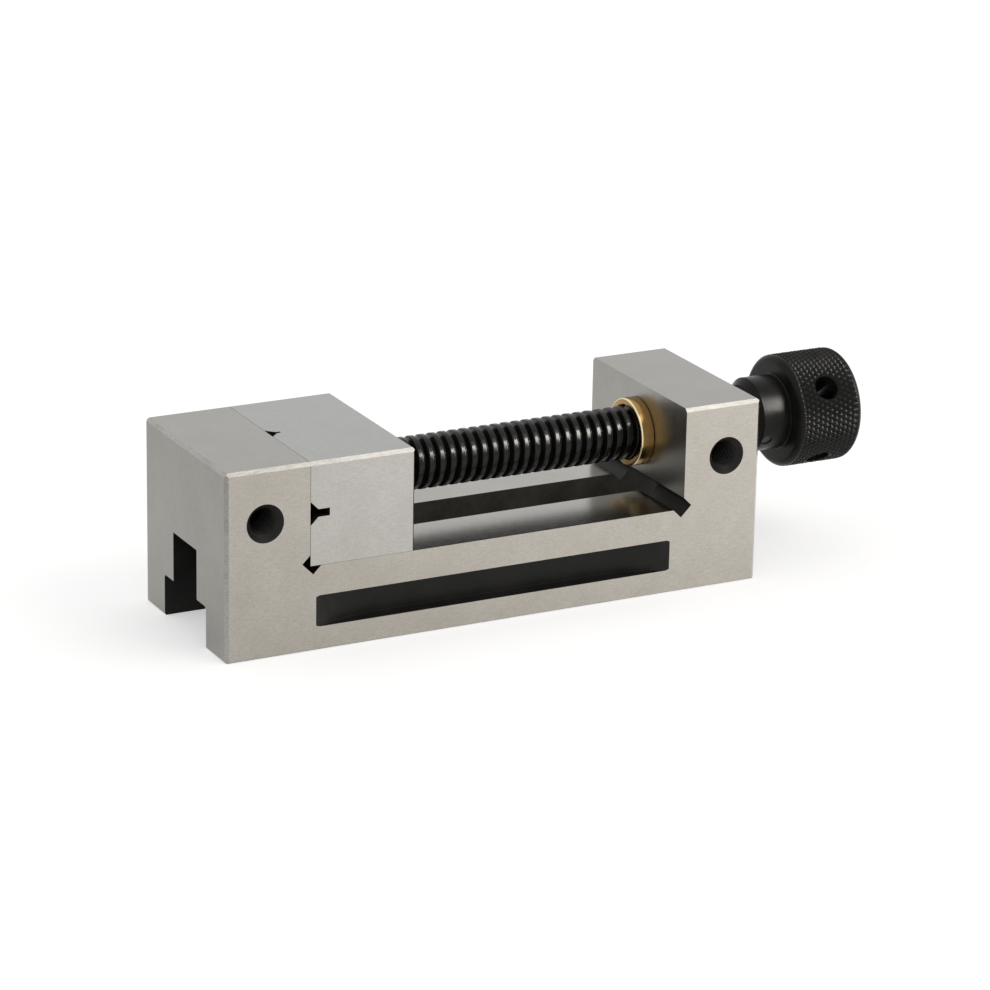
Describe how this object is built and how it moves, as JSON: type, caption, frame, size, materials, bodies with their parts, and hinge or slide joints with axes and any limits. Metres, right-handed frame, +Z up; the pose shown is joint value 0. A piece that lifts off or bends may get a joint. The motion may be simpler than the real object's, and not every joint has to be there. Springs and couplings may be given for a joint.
{
  "type": "toolmakers vise",
  "caption": "Ground steel toolmakers vise with a movable jaw on a slotted bed, drawn by a trapezoidal lead screw with a knurled knob.",
  "frame": {"origin": "where the fixed jaw's clamping face, the centre plane and the underside meet", "axes": "+X along the bed from the fixed jaw's clamping face towards the knob, +Y across to the far side, +Z up from the underside"},
  "size_m": [0.188, 0.05, 0.051],
  "materials": {
    "ground_steel": "ground, with fine streaks; recesses are blackened",
    "plain_steel": "hardened and ground",
    "black_steel": "black oxide, satin",
    "bronze": "turned"
  },
  "bodies": {
    "base": {"vise_body": "ground_steel", "lead_nut": "bronze"},
    "jaw": {"movable_jaw": "ground_steel", "jaw_keeper": "plain_steel", "keeper_screw_front": "black_steel", "keeper_screw_rear": "black_steel", "retaining_pin_near": "plain_steel", "retaining_pin_far": "plain_steel", "thrust_pad": "plain_steel"},
    "spindle": {"lead_screw": "black_steel", "knob": "black_steel", "knob_pin": "black_steel"}
  },
  "joints": [
    {"name": "jaw_slide", "type": "slide", "parent": "base", "child": "jaw", "axis": [1, 0, 0], "range_m": [0, 0.073]},
    {"name": "screw_turn", "type": "hinge", "parent": "jaw", "child": "spindle", "pos_m": [0, 0, 0.036], "axis": [1, 0, 0], "range_deg": [0, 8761]}
  ],
  "couplings": [
    {"joint": "screw_turn", "follows": "jaw_slide", "rad_per_m": 2094.4}
  ]
}
